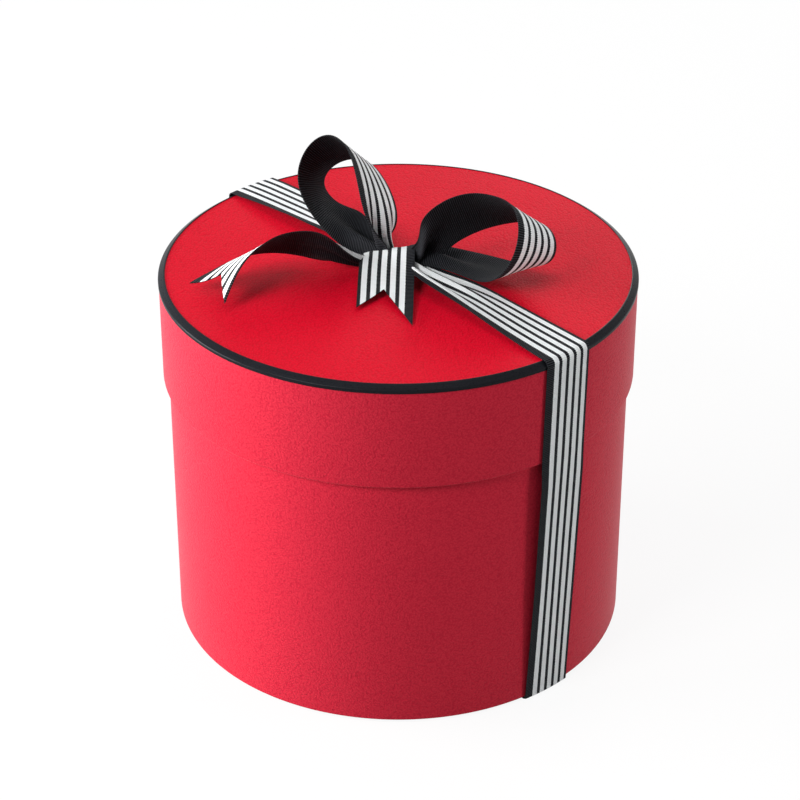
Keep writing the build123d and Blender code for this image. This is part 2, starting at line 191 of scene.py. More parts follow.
class Finish(Graph):
    """A material's graph, which starts with one principled shader."""

    def __init__(self, name: str) -> None:
        """Starts the material.

        Args:
            name: its name.
        """
        self.material = bpy.data.materials.new(name)
        super().__init__(self.material)
        self.shader = self.node("ShaderNodeBsdfPrincipled")
        self.output = self.node("ShaderNodeOutputMaterial", {"Surface": self.shader.outputs[0]})

    def place(self) -> Socket:
        """Adds the place on the object, in metres."""
        return self.node("ShaderNodeTexCoord").outputs["Object"]

    def noise(
        self, where: Socket, rate: float, detail: float, rough: float = 0.5, output: str = "Fac"
    ) -> Socket:
        """Adds a noise of rate clouds to the metre, with finer layers in them."""
        inputs = {"Vector": where, "Scale": rate, "Detail": detail, "Roughness": rough}
        return self.node("ShaderNodeTexNoise", inputs).outputs[output]

    def wave(self, kind: str, value: Socket, turns: float) -> Socket:
        """Adds a SINE or COSINE from 0 to 1, with full turns to a value of 1."""
        swing = self.math(kind, self.math("MULTIPLY", value, math.tau * turns))
        return self.math("MULTIPLY_ADD", swing, 0.5, 0.5)

    def spread(self, noise: Socket, middle: float, width: float) -> Socket:
        """Varies a number by a noise, over a width round its middle."""
        return self.math("MULTIPLY_ADD", noise, width, middle - width / 2)

    def bump(self, height: Socket, depth: float) -> None:
        """Raises the shader's surface, by depth metres at a height of 1."""
        made = self.node("ShaderNodeBump", {"Height": height, "Distance": depth, "Strength": 1.0})
        self.set(self.shader, {"Normal": made.outputs[0]})


@dataclass(frozen=True)
class PebbledPaper:
    """Covering paper embossed with a fine leathery grain.

    Attributes:
        colour, crease_shade: colours of the grains' crowns and between them, linear: the grain's own tone with
            painted glint on the crowns and painted shade in the creases.
        rough_spread: how far the roughness varies.
        gloss: strength of its shine, 0.5 being that of plain glass.
        grain: width of a grain.
        stretch: width of a grain over its length.
        lean: how the grain's length is turned about the three axes, in radians.
        relief: depth of the creases.
        drift_rate: bends of the grain's rows to a grain's width.
        fine_rate: finer specks to a grain's width.
        fine_height: height of those specks beside the grain's.
        patch_rate: faint patches to the metre.
        patch_height: strength of those patches.
        shade_ends: heights that show the crown's colour and the crease's.
    """

    name: str
    colour: Colour
    crease_shade: Colour
    roughness: float = 0.44
    rough_spread: float = 0.16
    gloss: float = 0.065
    sheen: float = 0.08
    sheen_roughness: float = 0.3
    grain: float = 0.85 * MM
    stretch: float = 0.55
    lean: Place = (0.45, 0.55, 0.75)
    relief: float = 0.15 * MM
    drift_rate: float = 0.5
    fine_rate: float = 2.4
    fine_height: float = 0.7
    patch_rate: float = 26.0
    patch_height: float = 0.12
    shade_ends: tuple[float, float] = (0.62, -0.05)

    def material(self) -> Material:
        """Makes the material.

        Returns:
            The material.
        """
        graph = Finish(self.name)
        place = graph.place()
        turning = {"Vector": place, "Rotation": self.lean, "Scale": (1.0, self.stretch, 1.0)}
        turned = graph.node("ShaderNodeMapping", turning).outputs[0]
        drift = graph.noise(turned, self.drift_rate / self.grain, detail=2.0, output="Color")
        bending = {0: drift, 1: (self.grain,) * 3, 2: turned}
        bent = graph.node("ShaderNodeVectorMath", bending, operation="MULTIPLY_ADD").outputs[0]
        packing = {"Vector": bent, "Scale": 1 / self.grain, "Smoothness": 0.5}
        cells = graph.node("ShaderNodeTexVoronoi", packing, feature="SMOOTH_F1").outputs["Distance"]
        fine = graph.noise(turned, self.fine_rate / self.grain, detail=3.0)
        cloud = graph.noise(place, self.patch_rate, detail=2.0)
        specks = graph.math("MULTIPLY", fine, self.fine_height)
        crown = graph.math("SUBTRACT", specks, graph.math("MULTIPLY", cells, cells))
        height = graph.math("MULTIPLY_ADD", cloud, self.patch_height, crown)
        # Mixing the crown colour and crease_shade by height paints glint on the grain's crowns and shade in
        # its creases, over the grain's own tone.
        low, high = self.shade_ends
        shade = graph.node("ShaderNodeMapRange", {"Value": height, 1: low, 2: high}).outputs[0]
        graph.set(graph.shader, {
            "Base Color": graph.mix(shade, self.colour, self.crease_shade),
            "Roughness": graph.spread(fine, self.roughness, self.rough_spread),
            "Specular IOR Level": self.gloss,
            "Sheen Weight": self.sheen,
            "Sheen Roughness": self.sheen_roughness,
        })
        graph.bump(crown, self.relief)
        return graph.material


@dataclass(frozen=True)
class BindingTape:
    """Black edge tape with faint streaks along the edge.

    Attributes:
        colour, worn: its deepest and its palest colour, linear.
        streak: width of a streak.
        streak_run: how fast the streaks change round the edge, in metres to a radian.
        grain_rate: specks to the metre.
        grain_height: height of the specks beside the streaks'.
    """

    name: str = "black binding tape"
    colour: Colour = (0.004, 0.004, 0.006, 1.0)
    worn: Colour = (0.020, 0.022, 0.027, 1.0)
    roughness: float = 0.30
    rough_spread: float = 0.18
    gloss: float = 0.07
    streak: float = 0.5 * MM
    streak_run: float = 2.0 * MM
    grain_rate: float = 1400.0
    grain_height: float = 0.5
    relief: float = 0.05 * MM

    def material(self) -> Material:
        """Makes the material.

        Returns:
            The material.
        """
        graph = Finish(self.name)
        place = graph.place()
        x, y, z = graph.node("ShaderNodeSeparateXYZ", {0: place}).outputs
        square = graph.math("ADD", graph.math("MULTIPLY", x, x), graph.math("MULTIPLY", y, y))
        turn = graph.math("MULTIPLY", graph.math("ARCTAN2", y, x), self.streak_run)
        rolled = graph.node("ShaderNodeCombineXYZ", {0: graph.math("SQRT", square), 1: turn, 2: z})
        streaks = graph.noise(rolled.outputs[0], 1 / self.streak, detail=3.0)
        grain = graph.noise(place, self.grain_rate, detail=2.0)
        graph.set(graph.shader, {
            "Base Color": graph.mix(graph.math("MULTIPLY", streaks, grain), self.colour, self.worn),
            "Roughness": graph.spread(grain, self.roughness, self.rough_spread),
            "Specular IOR Level": self.gloss,
        })
        graph.bump(graph.math("MULTIPLY_ADD", grain, self.grain_height, streaks), self.relief)
        return graph.material


@dataclass(frozen=True)
class PlainPaper:
    """Matt paper or board with a soft fibrous surface.

    Attributes:
        colour, fleck: its colour and that of its fibres, linear.
        fibre: size of a fibre.
        patch_rate: patches with more fibres, to the metre.
    """

    name: str
    colour: Colour
    fleck: Colour
    roughness: float = 0.8
    fibre: float = 0.6 * MM
    patch_rate: float = 60.0
    relief: float = 0.05 * MM

    def material(self) -> Material:
        """Makes the material.

        Returns:
            The material.
        """
        graph = Finish(self.name)
        place = graph.place()
        fibres = graph.noise(place, 1 / self.fibre, detail=5.0, rough=0.7)
        share = graph.math("MULTIPLY", fibres, graph.noise(place, self.patch_rate, detail=3.0))
        colour = graph.mix(share, self.colour, self.fleck)
        graph.set(graph.shader, {"Base Color": colour, "Roughness": self.roughness})
        graph.bump(fibres, self.relief)
        return graph.material


@dataclass(frozen=True)
class Grosgrain:
    """Ribbed ribbon cloth, read by each strip's own map of width and length.

    Attributes:
        striped: whether the face has the white stripes.
        black, crown: colours between the ground's ribs and on their tops, linear: partly the threads' own
            tone, partly painted highlight on the tops and painted shade between them.
        white, shaded: colour of the stripes, and that of their threads and hollows, linear.
        rib, warp: pitches of the ribs and of the fine lengthwise threads.
        fuzz_rate: tufts to the metre.
        narrow_margin_share: width of the narrow black margin.
        gap_share: width of the black between two stripes.
        scallop_share: how far each rib pushes a stripe's edge out.
        threads: threads that show in a stripe.
        thread_shade, rib_shade: how strongly threads and hollows show in a stripe.
        relief: height of a rib; those of warp and fuzz are shares of it.
        sharpness: how much narrower ribs and threads show than a plain wave's tops.
    """

    name: str
    striped: bool
    width: float = 25.4 * MM
    black: Colour = (0.0018, 0.0018, 0.0026, 1.0)
    crown: Colour = (0.050, 0.053, 0.061, 1.0)
    white: Colour = (0.95, 0.975, 0.985, 1.0)
    shaded: Colour = (0.36, 0.40, 0.44, 1.0)
    rib: float = 0.92 * MM
    warp: float = 0.22 * MM
    fuzz_rate: float = 1800.0
    narrow_margin_share: float = 0.062
    stripe_share: float = 0.105
    gap_share: float = 0.066
    scallop_share: float = 0.008
    stripes: int = 5
    threads: int = 3
    thread_shade: float = 0.04
    rib_shade: float = 0.08
    roughness: float = 0.6
    gloss: float = 0.03
    sheen: float = 0.02
    sheen_roughness: float = 0.45
    relief: float = 0.22 * MM
    warp_height: float = 0.18
    fuzz_height: float = 0.2
    sharpness: float = 3.0

    def material(self) -> Material:
        """Makes the material.

        Returns:
            The material.
        """
        graph = Finish(self.name)
        where = graph.node("ShaderNodeUVMap", uv_map=Strip.MAP_NAME).outputs[0]
        across, along, _ = graph.node("ShaderNodeSeparateXYZ", {0: where}).outputs
        rib = graph.wave("SINE", along, self.width / self.rib)
        warp = graph.wave("SINE", across, self.width / self.warp)
        fuzz = graph.noise(graph.place(), self.fuzz_rate, detail=2.0)
        # Painted highlight on the ribs' tops and painted shade between them, over the threads' own tone.
        dark = graph.mix(graph.math("POWER", rib, self.sharpness), self.black, self.crown)
        graph.set(graph.shader, {
            "Base Color": self._stripes(graph, across, rib, dark) if self.striped else dark,
            "Roughness": self.roughness,
            "Specular IOR Level": self.gloss,
            "Sheen Weight": self.sheen,
            "Sheen Roughness": self.sheen_roughness,
        })
        cloth = graph.math("MULTIPLY_ADD", fuzz, self.fuzz_height, rib)
        graph.bump(graph.math("MULTIPLY_ADD", warp, self.warp_height, cloth), self.relief)
        return graph.material

    def _stripes(self, graph: Finish, across: Socket, rib: Socket, dark: Socket) -> Socket:
        """Adds the white stripes with their fine lengthwise threads.

        Args:
            graph: the material's graph.
            across: place across the ribbon, from the narrow margin.
            rib: height of the ribs.
            dark: colour of the black ground.

        Returns:
            The colour of the striped face.
        """
        pitch = self.stripe_share + self.gap_share
        count = graph.math("DIVIDE", graph.math("SUBTRACT", across, self.narrow_margin_share), pitch)
        place = graph.math("FRACT", count)
        least = (self.stripe_share - self.scallop_share) / pitch
        edge = graph.math("MULTIPLY_ADD", rib, self.scallop_share / pitch, least)
        inside = graph.math("LESS_THAN", place, edge)
        started = graph.math("GREATER_THAN", count, 0.0)
        ended = graph.math("LESS_THAN", count, float(self.stripes))
        stripe = graph.math("MULTIPLY", inside, graph.math("MULTIPLY", started, ended))
        thread = graph.wave("COSINE", place, self.threads * pitch / self.stripe_share)
        thread = graph.math("POWER", thread, self.sharpness)
        hollow = graph.math("MULTIPLY", graph.math("SUBTRACT", 1.0, rib), self.rib_shade)
        shade = graph.math("MULTIPLY_ADD", thread, self.thread_shade, hollow)
        return graph.mix(stripe, dark, graph.mix(shade, self.white, self.shaded))


# The wraps' colours are the cover paper's with painted haze: their raised green and blue stand in for the pale
# glare on the lit walls. The crease colours are painted shade in the grain's hollows, over the grain's own
# tone.
WRAP_RED_WITH_PAINTED_HAZE = (0.64, 0.0290, 0.053, 1.0)
WRAP_CREASE_SHADE_AND_HAZE = (0.50, 0.0140, 0.036, 1.0)
COVER_RED = (0.73, 0.0018, 0.023, 1.0)
COVER_CREASE_SHADE = (0.58, 0.0004, 0.014, 1.0)
BOARD_GREY = (0.32, 0.30, 0.26, 1.0)
BOARD_FLECK = (0.16, 0.15, 0.13, 1.0)
LINER_CREAM = (0.80, 0.77, 0.70, 1.0)
LINER_FLECK = (0.66, 0.62, 0.55, 1.0)


def finishes() -> dict[Slot, Material]:
    """Makes the materials of the hard pieces.

    Returns:
        One material for each paper, board and binding slot.
    """
    return {
        Slot.RED_PAPER: PebbledPaper("red pebbled paper with painted haze", WRAP_RED_WITH_PAINTED_HAZE, WRAP_CREASE_SHADE_AND_HAZE).material(),
        Slot.BASE_PAPER: PebbledPaper("red base paper with painted haze", WRAP_RED_WITH_PAINTED_HAZE, WRAP_CREASE_SHADE_AND_HAZE, roughness=0.5).material(),
        Slot.BLACK_BINDING: BindingTape().material(),
        Slot.GREY_BOARD: PlainPaper("grey board", BOARD_GREY, BOARD_FLECK).material(),
        Slot.LINER_PAPER: PlainPaper("cream lining paper", LINER_CREAM, LINER_FLECK).material(),
    }


def cover_finish() -> Material:
    """Makes the lid's cover paper, deeper in colour and less shiny than the wraps, whose red carries painted
    haze.

    Returns:
        The material.
    """
    return PebbledPaper("red cover paper", COVER_RED, COVER_CREASE_SHADE, gloss=0.038).material()


def placed(name: str, data: bpy.types.ID) -> bpy.types.Object:
    """Adds an object to the scene.

    Args:
        name: its name.
        data: its mesh, lamp or camera.

    Returns:
        The new object.
    """
    made = bpy.data.objects.new(name, data)
    bpy.context.scene.collection.objects.link(made)
    return made


def add_piece(
    name: str, mesh: Mesh, body: Body, nodes: Sequence[str], materials: Sequence[Material]
) -> bpy.types.Object:
    """Puts a finished mesh on its body in place of its frame nodes.

    Args:
        name: the piece's name.
        mesh: its mesh, in the row's frame.
        body: the body that it rides on.
        nodes: the frame nodes that it stands for.
        materials: its materials, in the order of the mesh's material places.

    Returns:
        The new object.
    """
    piece = placed(name, mesh)
    for material in materials:
        mesh.materials.append(material)
    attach(piece, body.value)
    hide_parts(*nodes)
    faces = len(mesh.polygons)
    log.info("%s: %d faces on %s, in place of %s", name, faces, body.value, ", ".join(nodes))
    return piece


def fillet(corners: Outline, radii: Sequence[float], steps: int = 6) -> list[tuple[float, float]]:
    """Rounds the corners of a closed outline, or of an open path whose ends stay sharp.

    Args:
        corners: the outline's corners, in order.
        radii: one radius for each corner, or 0 for a sharp one.
        steps: straight pieces in each rounding.

    Returns:
        The points of the rounded outline.
    """
    points = []
    count = len(corners)
    for i, (corner, radius) in enumerate(zip(corners, radii)):
        here = Vector(corner)
        before = (Vector(corners[i - 1]) - here).normalized()
        after = (Vector(corners[(i + 1) % count]) - here).normalized()
        if not radius:
            points.append(tuple(here))
            continue
        half = before.angle(after) / 2
        run = radius / math.tan(half)
        centre = here + (before + after).normalized() * (radius / math.sin(half))
        start = here + before * run - centre
        end = here + after * run - centre
        turn = start.angle_signed(end)
        for step in range(steps + 1):
            points.append(tuple(centre + Matrix.Rotation(-turn * step / steps, 2) @ start))
    return points


def lathe(name: str, outline: Outline, segments: int = 288, shift: Shift | None = None) -> Mesh:
    """Turns a closed outline about the Z axis.

    Args:
        name: the mesh's name.
        outline: points of radius and height.
        segments: steps round the axis.
        shift: what to add to the radius, from angle, radius and height.

    Returns:
        The closed mesh, its faces looking outwards. Points on the axis are shared.
    """
    verts: list[Place] = []
    rings: list[list[int]] = []
    turned = sum(a[0] * b[1] - b[0] * a[1] for a, b in zip(outline, [*outline[1:], outline[0]]))
    for radius, height in outline[::-1] if turned > 0 else outline:
        if radius == 0:
            rings.append([len(verts)] * segments)
            verts.append((0.0, 0.0, height))
            continue
        rings.append(list(range(len(verts), len(verts) + segments)))
        for k in range(segments):
            angle = math.tau * k / segments
            reach = radius + (shift(angle, radius, height) if shift else 0.0)
            verts.append((reach * math.cos(angle), reach * math.sin(angle), height))
    faces = []
    for i, ring in enumerate(rings):
        other = rings[(i + 1) % len(rings)]
        for k in range(segments):
            following = (k + 1) % segments
            face = list(dict.fromkeys([ring[k], other[k], other[following], ring[following]]))
            if len(face) > 2:
                faces.append(face)
    mesh = bpy.data.meshes.new(name)
    mesh.from_pydata(verts, [], faces)
    mesh.validate()
    mesh.polygons.foreach_set("use_smooth", [True] * len(mesh.polygons))
    mesh.set_sharp_from_angle(angle=LATHE_SHARP_ANGLE)
    return mesh


def overlap_seam(angle: float, lap: float, step: float) -> Shift:
    """The bulge of a paper's glued overlap.

    Args:
        angle: where the overlap's upper edge lies, in radians.
        lap: how wide the overlap is, in radians.
        step: how far the upper layer stands out, in metres.

    Returns:
        A function of angle, radius and height for lathe.
    """

    def shift(turn: float, _radius: float, _height: float) -> float:
        """Stands out at once at the upper edge and fades to nothing over the lap."""
        past = (turn - angle) % math.tau
        return step * (1 - past / lap) if past < lap else 0.0

    return shift


@dataclass
class Papers:
    """The papers and binding of body and lid, taken from the frame's sizes.

    Attributes:
        materials: the finishes by slot.
        cover: the finish of the lid's cover paper.
        fold_radius: rounding of a paper folded over a board's edge.
        bevel_width: how wide the bevel along the lid's top edge is, seen from above.
        bevel_drop: how far the bevel falls.
        ridge_radius: rounding of the ridge under the bevel.
        brow_radius: rounding of the bevel's upper edge.
        tape_edge: rounding of the tape's edges, in thicknesses of tape.
        seam_angle: where the papers' glued overlaps lie, at the back right.
        seam_lap: how wide an overlap is.
        seam_step: how far its upper layer stands out.
    """

    materials: dict[Slot, Material]
    cover: Material
    fold_radius: float = 0.7 * MM
    bevel_width: float = 2.7 * MM
    bevel_drop: float = 1.9 * MM
    ridge_radius: float = 0.8 * MM
    brow_radius: float = 1.2 * MM
    tape_edge: float = 0.45
    seam_angle: float = math.radians(68)
    seam_lap: float = math.radians(7)
    seam_step: float = 0.18 * MM

    def build(self) -> None:
        """Builds and dresses every paper that shows."""
        self._body()
        self._lid()
        self._binding()
        self._inner()

    def _body(self) -> None:
        """Paper round the body, over its rim and under its foot."""
        low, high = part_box("body_wrap")
        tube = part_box("body_tube")
        wall = high.z - tube[1].z
        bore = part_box("body_wall_liner")[1].x - wall
        liner_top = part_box("body_wall_liner")[1].z
        foot_reach = high.x - (high.z - liner_top)
        outer = high.x
        corners = [
            (foot_reach, low.z),
            (outer, low.z),
            (outer, high.z),
            (bore, high.z),
            (bore, liner_top),
            (bore + wall, liner_top),
            (bore + wall, high.z - wall),
            (outer - wall, high.z - wall),
            (outer - wall, low.z + wall),
            (foot_reach, low.z + wall),
        ]
        radii = [0, *[self.fold_radius] * 3, *[0] * 6]
        seam = overlap_seam(self.seam_angle, self.seam_lap, self.seam_step)
        mesh = lathe("body_paper", fillet(corners, radii), shift=self._outside(seam, outer - wall))
        add_piece("body_paper", mesh, Body.BASE, ["body_wrap"], [self.materials[Slot.RED_PAPER]])

    @staticmethod
    def _outside(seam: Shift, least: float) -> Shift:
        """Keeps a seam's shift to the radii outside the least one."""
        return lambda turn, radius, height: seam(turn, radius, height) if radius > least + HAIR else 0.0

    @property
    def _slope(self) -> float:
        """How far the bevel falls to a metre outwards."""
        return self.bevel_drop / self.bevel_width

    def _bevel_level(self, radius: float, depth: float) -> float:
        """Height of the bevel at a radius, at a depth square to its face."""
        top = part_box("lid_edge_binding")[1]
        return top.z - (radius - top.x + self.bevel_width) * self._slope - depth * math.hypot(1, self._slope)

    def _bevel_start(self, level: float, depth: float) -> float:
        """Radius where a layer at a depth square to the bevel's face meets a level."""
        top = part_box("lid_edge_binding")[1]
        return top.x - self.bevel_width + (top.z - level - depth * math.hypot(1, self._slope)) / self._slope

    def _lid(self) -> None:
        """Paper over the lid's top, down its bevel and round its rim, turned in at the lip."""
        low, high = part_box("lid_rim_wrap")
        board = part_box("lid_rim_band")
        wall = high.x - board[1].x
        outer = high.x
        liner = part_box("lid_rim_liner")
        bore = liner[1].x
        inner = bore - wall
        turned = liner[0].z
        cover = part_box("lid_top_cover")
        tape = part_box("lid_edge_binding")[1].z - cover[1].z
        top_start = self._bevel_start(cover[1].z, tape)
        board_start = self._bevel_start(cover[0].z, tape + wall)
        corners = [
            (top_start, cover[1].z),
            (outer, self._bevel_level(outer, tape)),
            (outer, low.z),
            (inner, low.z),
            (inner, turned),
            (bore, turned),
            (bore, low.z + wall),
            (board[1].x, low.z + wall),
            (board[1].x, self._bevel_level(board[1].x, tape + wall)),
            (board_start, cover[0].z),
        ]
        radii = [0, self.ridge_radius / 2, *[self.fold_radius] * 2, *[0] * 6]
        seam = overlap_seam(self.seam_angle + self.seam_lap, self.seam_lap, self.seam_step)
        mesh = lathe("rim_paper", fillet(corners, radii), shift=self._outside(seam, board[1].x))
        add_piece("rim_paper", mesh, Body.LID, ["lid_rim_wrap"], [self.materials[Slot.RED_PAPER]])
        outline = [(0, cover[1].z), (0, cover[0].z), (board_start, cover[0].z), (top_start, cover[1].z)]
        mesh = lathe("top_paper", outline)
        add_piece("top_paper", mesh, Body.LID, ["lid_top_cover"], [self.cover])

    def _binding(self) -> None:
        """Tape down the lid's bevel and over its rounded ridge."""
        low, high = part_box("lid_edge_binding")
        cover_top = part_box("lid_top_cover")[1].z
        thick = high.z - cover_top
        node = frame["nodes"]["lid_edge_binding"]
        level = cover_top + thick / 2
        reach = min(math.hypot(v.co.x, v.co.y) for v in node.data.vertices if v.co.z > level)
        edge = thick * self.tape_edge
        corners = [
            (reach, cover_top),
            (reach, high.z),
            (high.x - self.bevel_width, high.z),
            (high.x, self._bevel_level(high.x, 0.0)),
            (high.x, low.z),
            (high.x - thick, low.z),
            (high.x - thick, self._bevel_level(high.x - thick, thick)),
            (self._bevel_start(cover_top, thick), cover_top),
        ]
        radii = [0, edge / 2, self.brow_radius / 2, self.ridge_radius, edge, 0, self.ridge_radius / 2, 0]
        mesh = lathe("edge_binding", fillet(corners, radii))
        tape = self.materials[Slot.BLACK_BINDING]
        add_piece("edge_binding", mesh, Body.LID, ["lid_edge_binding"], [tape])

    def _inner(self) -> None:
        """Finishes for the boards, linings and base paper, which keep the frame's own shape."""
        slots = {entry["node"]: Slot(entry["material_slot"]) for entry in frame["record"]["subparts"]}
        for name, node in frame["nodes"].items():
            if slots[name] in self.materials:
                node.data.materials.clear()
                node.data.materials.append(self.materials[slots[name]])
                log.info("%s: finish %s", name, slots[name].value)


@dataclass
class Strip:
    """A length of ribbon laid through a table of stations.

    Attributes:
        nodes: the frame nodes it stands for.
        middles, ways, kept: at each station the strip's middle, the way its width points, and the
            share of the width that is left where it is gathered.
        margin: at which end of the width the broad black margin lies.
        waves: pleats across the gathered width.
        cut_shares: how much is cut off at the strip's end at the start, notch and end of the width,
            in shares of the ribbon's width.
        notch_share: where the notch lies across the width.
        floor: the level that the strip rests on, or None.
        hug: draws points in to the round wall behind them, or None.
        curl: how far the edge at the start of the width turns up at each station, in radians, or None.
        curl_share: the share of the width that turns up.
        held: how the cloth is held. Not used.
        columns, step: faces across the width, and the length of a face along the strip.
    """

    MAP_NAME = "weave"

    name: str
    nodes: Sequence[str]
    middles: Sequence[Vector]
    ways: Sequence[Vector]
    kept: Sequence[float]
    facing: Facing
    margin: Margin
    body: Body = Body.RIBBON
    waves: float = 2.5
    cut_shares: tuple[float, float, float] = (0.0, 0.0, 0.0)
    notch_share: float = 0.5
    floor: float | None = None
    hug: Callable[[Array], Array] | None = None
    curl: Sequence[float] | None = None
    curl_share: float = 0.16
    held: str = "gathered"
    width: float = 25.4 * MM
    thick: float = 0.42 * MM
    columns: int = 36
    step: float = 0.8 * MM

    def build(self, cloth: Sequence[Material]) -> bpy.types.Object:
        """Args:
            cloth: materials of the striped face and of the plain back.

        Returns:
            The new piece.
        """
        self._frames()
        u = np.linspace(0, 1, self.columns + 1)
        cut = np.interp(u, (0.0, self.notch_share, 1.0), self.cut_shares)
        ends = self.length - cut * self.width
        along = np.linspace(0, 1, round(self.length / self.step) + 1)[:, None] * ends[None, :]
        u = np.broadcast_to(u, along.shape)
        mesh = self._mesh(self._points(along, u), along / self.width, u)
        piece = add_piece(self.name, mesh, self.body, self.nodes, cloth)
        log.info("%s: %.1f mm long", self.name, self.length / MM)
        return piece

    def _frames(self) -> None:
        """Works out length, run, width way and face way along the strip."""
        self.middle = np.array([tuple(middle) for middle in self.middles])
        self.way = np.array([tuple(way.normalized()) for way in self.ways])
        steps = np.linalg.norm(np.diff(self.middle, axis=0), axis=1)
        self.at = np.concatenate([[0.0], np.cumsum(steps)])
        self.length = float(steps.sum())
        run = np.gradient(self.middle, self.at, axis=0)
        run -= self.way * (run * self.way).sum(1)[:, None]
        run /= np.linalg.norm(run, axis=1)[:, None]
        self.face = np.cross(run, self.way) * self.facing.value

    def _read(self, table: Array, along: Array) -> Array:
        """Reads a table of one vector for each station at lengths along the strip."""
        return np.stack([np.interp(along, self.at, column) for column in table.T], axis=-1)

    def _points(self, along: Array, u: Array) -> Array:
        """Works out points of the strip's middle layer.

        Args:
            along: lengths along the strip.
            u: places across it, from 0 to 1.

        Returns:
            The points.
        """
        middle, way, face = (self._read(t, along) for t in (self.middle, self.way, self.face))
        across, rise = pleat(np.interp(along, self.at, self.kept), u, self.waves)
        turn = np.zeros_like(along) if self.curl is None else np.interp(along, self.at, self.curl)
        inwards, lift = curled(turn, u, self.curl_share)
        sideways, upward = (across + inwards) * self.width, (rise + lift) * self.width
        points = middle + way * sideways[..., None] + face * upward[..., None]
        if self.floor is not None:
            points[..., 2] = np.maximum(points[..., 2], self.floor + self.thick / 2)
        return self.hug(points) if self.hug else points

    def _mesh(self, points: Array, along: Array, u: Array) -> Mesh:
        """Makes the closed thin shell round the middle layer.

        Args:
            points: points of the middle layer.
            along: length at each point, in ribbon widths.
            u: place across the ribbon at each point.

        Returns:
            The mesh, with the striped face in the first material place.
        """
        normal = np.cross(np.gradient(points, axis=0), np.gradient(points, axis=1))
        normal /= np.linalg.norm(normal, axis=2)[..., None]
        normal *= self.facing.value
        rows, columns = points.shape[:2]
        front = points + normal * self.thick / 2
        back = points - normal * self.thick / 2
        verts = np.concatenate([front.reshape(-1, 3), back.reshape(-1, 3)])
        index = np.arange(rows * columns).reshape(rows, columns)
        beside = [index[:-1, :-1], index[1:, :-1], index[1:, 1:], index[:-1, 1:]]
        quads = np.stack(beside, axis=-1).reshape(-1, 4)
        edge = np.concatenate([index[:, 0], index[-1, 1:], index[-2::-1, -1], index[0, -2:0:-1]])
        following = np.roll(edge, -1)
        behind = rows * columns
        walls = np.stack([following, following + behind, edge + behind, edge], axis=-1)
        if self.facing is Facing.AGAINST:
            quads, walls = quads[:, ::-1], walls[:, ::-1]
        faces = np.concatenate([quads, quads[:, ::-1] + behind, walls]).tolist()
        mesh = bpy.data.meshes.new(self.name)
        mesh.from_pydata(verts.tolist(), [], faces)
        mesh.polygons.foreach_set("material_index", [int(n >= len(quads)) for n in range(len(faces))])
        mesh.polygons.foreach_set("use_smooth", [True] * len(faces))
        mesh.set_sharp_from_angle(angle=RIBBON_SHARP_ANGLE)
        stripe_place = u if self.margin is Margin.END else 1 - u
        uv = np.tile(np.stack([stripe_place.ravel(), along.ravel()], axis=-1), (2, 1))
        layer = mesh.uv_layers.new(name=self.MAP_NAME)
        corners = np.empty(len(mesh.loops), dtype=np.int32)
        mesh.loops.foreach_get("vertex_index", corners)
        layer.data.foreach_set("uv", uv[corners].astype(np.float32).ravel())
        return mesh


def curled(turn: Array, u: Array, reach: float) -> tuple[Array, Array]:
    """Turns up the edge at the start of a width along an arc of its own length.

    Args:
        turn: how far the edge turns up at each point, in radians.
        u: place across the width, from 0 to 1.
        reach: the share of the width that turns up.

    Returns:
        How far each point moves in from the edge, and how far up, in shares of the full width.
    """
    part = np.clip((reach - u) / reach, 0.0, 1.0)
    turn = np.maximum(turn, LEAST_TURN)
    inwards = reach * part - reach / turn * np.sin(turn * part)
    return inwards, reach / turn * (1 - np.cos(turn * part))


def pleat(kept: Array, u: Array, waves: float) -> tuple[Array, Array]:
    """Folds a width in waves so that it takes less room and keeps its own length.

    Args:
        kept: share of the width that is left, at each point.
        u: place across the width, from 0 to 1.
        waves: how many waves the width is folded in.

    Returns:
        Place across, from -0.5 to 0.5 of the kept width, and height, in shares of the full width.
    """
    slopes = np.linspace(0, STEEPEST_PLEAT, PLEAT_ROWS)
    phase = np.linspace(0, 1, PLEAT_STEPS + 1)
    lean = slopes[:, None] * np.cos(math.tau * waves * (phase - 0.5))[None, :]

    def summed(rate: Array) -> Array:
        """Adds up a rate across the width, from nothing at its start."""
        sums = np.cumsum((rate[:, 1:] + rate[:, :-1]) / 2, axis=1) / PLEAT_STEPS
        return np.pad(sums, ((0, 0), (1, 0)))

    sideways, upward = summed(np.cos(lean)), summed(np.sin(lean))
    total = sideways[:, -1]
    row = np.interp(np.clip(kept, total[-1], 1.0), total[::-1], slopes[::-1]) / slopes[1]
    low = np.clip(np.floor(row).astype(int), 0, PLEAT_ROWS - 2)
    blend = row - low
    spot = u * PLEAT_STEPS
    left = np.clip(np.floor(spot).astype(int), 0, PLEAT_STEPS - 1)
    part = spot - left

    def read(table: Array) -> Array:
        """Reads a table between its rows and columns.

        Args:
            table: heights or places by slope and place across.

        Returns:
            What the table holds at each point.
        """
        near = table[low, left] * (1 - part) + table[low, left + 1] * part
        far = table[low + 1, left] * (1 - part) + table[low + 1, left + 1] * part
        return near * (1 - blend) + far * blend

    return read(sideways - total[:, None] / 2), read(upward - upward.mean(axis=1)[:, None])


def eased(rows: Sequence[Row], steps: int = 10) -> Array:
    """Rows along a smooth cubic through a table's rows.

    Args:
        rows: the table.
        steps: how many rows each step of the table is divided in.

    Returns:
        The finer table.
    """
    table = np.array(rows, float)
    table = np.vstack([2 * table[0] - table[1], table, 2 * table[-1] - table[-2]])
    t = np.arange(steps) / steps
    weights = [(1 - t) ** 3, 3 * t**3 - 6 * t**2 + 4, 3 * (t + t**2 - t**3) + 1, t**3]
    pieces = [np.stack(weights, axis=1) / 6 @ table[i : i + 4] for i in range(len(table) - 3)]
    return np.vstack([*pieces, np.array(rows[-1], float)[None, :]])


